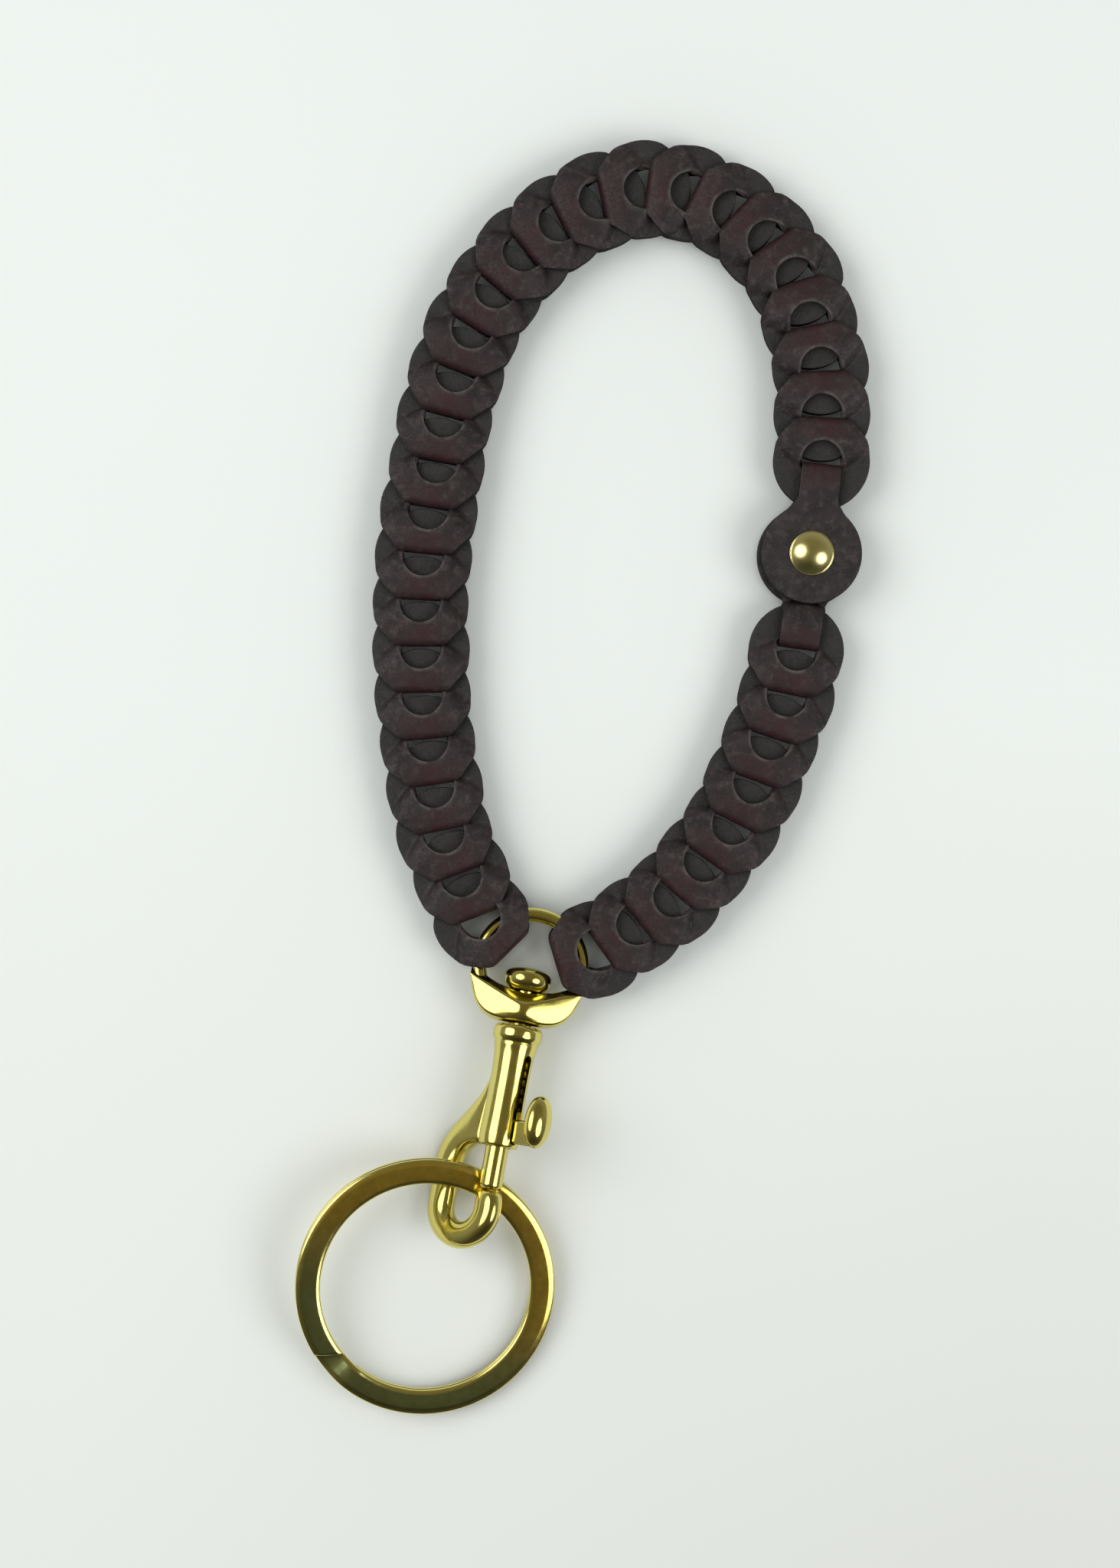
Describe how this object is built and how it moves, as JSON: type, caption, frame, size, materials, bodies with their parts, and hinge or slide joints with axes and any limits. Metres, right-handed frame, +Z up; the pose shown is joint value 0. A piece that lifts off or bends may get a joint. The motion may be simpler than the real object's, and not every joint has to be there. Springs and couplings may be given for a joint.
{
  "type": "wristlet keychain",
  "caption": "Closed wrist loop of interlinked folded leather rings, riveted shut, with a swivelling brass bolt snap that carries a split key ring.",
  "frame": {"origin": "centre of the flat back face of the closing rivet, which the part lies on", "axes": "+Z up out of the flat loop, +Y from the snap towards the far end of the loop, +X across it; the snap and key ring hang towards -Y"},
  "size_m": [0.0843, 0.1865, 0.0138],
  "materials": {
    "leather": "matte waxed, dark brown with burgundy in the folds",
    "brass": "polished",
    "key_ring_brass": "polished flat wire",
    "spring_steel": "drawn wire"
  },
  "bodies": {
    "eye": {"swivel_eye": "brass"},
    "long_links_01_03": {"long_link_01": "leather", "long_link_02": "leather", "long_link_03": "leather"},
    "long_links_04_06": {"long_link_04": "leather", "long_link_05": "leather", "long_link_06": "leather"},
    "long_links_07_09": {"long_link_07": "leather", "long_link_08": "leather", "long_link_09": "leather"},
    "long_links_10_12": {"long_link_10": "leather", "long_link_11": "leather", "long_link_12": "leather"},
    "long_links_13_15": {"long_link_13": "leather", "long_link_14": "leather", "long_link_15": "leather"},
    "long_links_16_17": {"long_link_16": "leather", "long_link_17": "leather"},
    "long_links_18_19": {"long_link_18": "leather", "long_link_19": "leather"},
    "long_links_20_21": {"long_link_20": "leather", "long_link_21": "leather"},
    "long_links_22_24": {"long_link_22": "leather", "long_link_23": "leather", "long_link_24": "leather"},
    "long_links_25_27": {"long_link_25": "leather", "long_link_26": "leather", "long_link_27": "leather"},
    "outer_tab": {"end_tab_outer": "leather", "rivet_cap": "brass", "rivet_post": "brass"},
    "short_links_01_03": {"short_link_01": "leather", "short_link_02": "leather", "short_link_03": "leather"},
    "short_links_04_06": {"short_link_04": "leather", "short_link_05": "leather", "short_link_06": "leather"},
    "short_links_07_09": {"short_link_07": "leather", "short_link_08": "leather", "short_link_09": "leather"},
    "inner_tab": {"end_tab_inner": "leather"},
    "snap": {"snap_body": "brass", "bolt_spring": "spring_steel"},
    "bolt": {"bolt_rod": "brass", "thumb_knob": "brass"},
    "key_ring": {"key_ring": "key_ring_brass"}
  },
  "joints": [
    {"name": "loop_squeeze", "type": "hinge", "parent": "eye", "child": "long_links_01_03", "pos_m": [-0.04432, -0.05745, 0.00341], "axis": [0, 0, 1], "range_deg": [-6.77, 7.53]},
    {"name": "long_hinge_04", "type": "hinge", "parent": "long_links_01_03", "child": "long_links_04_06", "pos_m": [-0.05392, -0.0399, 0.00341], "axis": [0, 0, 1], "range_deg": [-0.71, 0.65]},
    {"name": "long_hinge_07", "type": "hinge", "parent": "long_links_04_06", "child": "long_links_07_09", "pos_m": [-0.05694, -0.01975, 0.00341], "axis": [0, 0, 1], "range_deg": [-2.99, 2.7]},
    {"name": "long_hinge_10", "type": "hinge", "parent": "long_links_07_09", "child": "long_links_10_12", "pos_m": [-0.0565, 0.00063, 0.00341], "axis": [0, 0, 1], "range_deg": [-3.16, 2.84]},
    {"name": "long_hinge_13", "type": "hinge", "parent": "long_links_10_12", "child": "long_links_13_15", "pos_m": [-0.05346, 0.02079, 0.00341], "axis": [0, 0, 1], "range_deg": [-4.27, 3.84]},
    {"name": "long_hinge_16", "type": "hinge", "parent": "long_links_13_15", "child": "long_links_16_17", "pos_m": [-0.04588, 0.03957, 0.00341], "axis": [0, 0, 1], "range_deg": [-4.69, 4.22]},
    {"name": "long_hinge_18", "type": "hinge", "parent": "long_links_16_17", "child": "long_links_18_19", "pos_m": [-0.03621, 0.04904, 0.00341], "axis": [0, 0, 1], "range_deg": [-2.35, 2.61]},
    {"name": "long_hinge_20", "type": "hinge", "parent": "long_links_18_19", "child": "long_links_20_21", "pos_m": [-0.02351, 0.05348, 0.00341], "axis": [0, 0, 1], "range_deg": [-5.04, 5.6]},
    {"name": "long_hinge_22", "type": "hinge", "parent": "long_links_20_21", "child": "long_links_22_24", "pos_m": [-0.01066, 0.04962, 0.00341], "axis": [0, 0, 1], "range_deg": [-7.19, 8]},
    {"name": "long_hinge_25", "type": "hinge", "parent": "long_links_22_24", "child": "long_links_25_27", "pos_m": [0.00022, 0.03288, 0.00341], "axis": [0, 0, 1], "range_deg": [-1.51, 1.36]},
    {"name": "outer_tab_hinge", "type": "hinge", "parent": "long_links_25_27", "child": "outer_tab", "pos_m": [0.00149, 0.01261, 0.00341], "axis": [0, 0, 1], "range_deg": [-2.72, 2.45]},
    {"name": "short_hinge_01", "type": "hinge", "parent": "eye", "child": "short_links_01_03", "pos_m": [-0.03684, -0.05952, 0.00341], "axis": [0, 0, 1], "range_deg": [-6.78, 6.1]},
    {"name": "short_hinge_04", "type": "hinge", "parent": "short_links_01_03", "child": "short_links_04_06", "pos_m": [-0.01951, -0.0494, 0.00341], "axis": [0, 0, 1], "range_deg": [-1.11, 1.23]},
    {"name": "short_hinge_07", "type": "hinge", "parent": "short_links_04_06", "child": "short_links_07_09", "pos_m": [-0.008, -0.03271, 0.00341], "axis": [0, 0, 1], "range_deg": [-4.96, 5.51]},
    {"name": "inner_tab_hinge", "type": "hinge", "parent": "short_links_07_09", "child": "inner_tab", "pos_m": [-0.00185, -0.01331, 0.00341], "axis": [0, 0, 1], "range_deg": [-3.28, 3.64]},
    {"name": "snap_swivel", "type": "hinge", "parent": "eye", "child": "snap", "pos_m": [-0.04107, -0.06027, 0.00386], "axis": [-0.1771, -0.9743, 0.1392], "continuous": true},
    {"name": "bolt_slide", "type": "slide", "parent": "snap", "child": "bolt", "axis": [0.1771, 0.9743, -0.1392], "range_m": [0, 0.0062], "stiffness_N_per_m": 60, "springref_m": -0.003, "deforming": ["bolt_spring"]},
    {"name": "key_ring_swing", "type": "hinge", "parent": "snap", "child": "key_ring", "pos_m": [-0.04987, -0.09127, 0.00551], "axis": [0.9164, -0.3722, -0.1474], "range_deg": [-28, 8]}
  ],
  "couplings": [
    {"joint": "long_hinge_04", "follows": "loop_squeeze", "ratio": -0.090216},
    {"joint": "long_hinge_07", "follows": "loop_squeeze", "ratio": -0.39294},
    {"joint": "long_hinge_10", "follows": "loop_squeeze", "ratio": -0.41497},
    {"joint": "long_hinge_13", "follows": "loop_squeeze", "ratio": -0.56222},
    {"joint": "long_hinge_16", "follows": "loop_squeeze", "ratio": -0.6186},
    {"joint": "long_hinge_18", "follows": "loop_squeeze", "ratio": 0.34247},
    {"joint": "long_hinge_20", "follows": "loop_squeeze", "ratio": 0.7386},
    {"joint": "long_hinge_22", "follows": "loop_squeeze", "ratio": 1.0575},
    {"joint": "long_hinge_25", "follows": "loop_squeeze", "ratio": -0.19535},
    {"joint": "outer_tab_hinge", "follows": "loop_squeeze", "ratio": -0.35706},
    {"joint": "short_hinge_01", "follows": "loop_squeeze", "ratio": -0.89607},
    {"joint": "short_hinge_04", "follows": "loop_squeeze", "ratio": 0.1592},
    {"joint": "short_hinge_07", "follows": "loop_squeeze", "ratio": 0.72736},
    {"joint": "inner_tab_hinge", "follows": "loop_squeeze", "ratio": 0.47913}
  ]
}
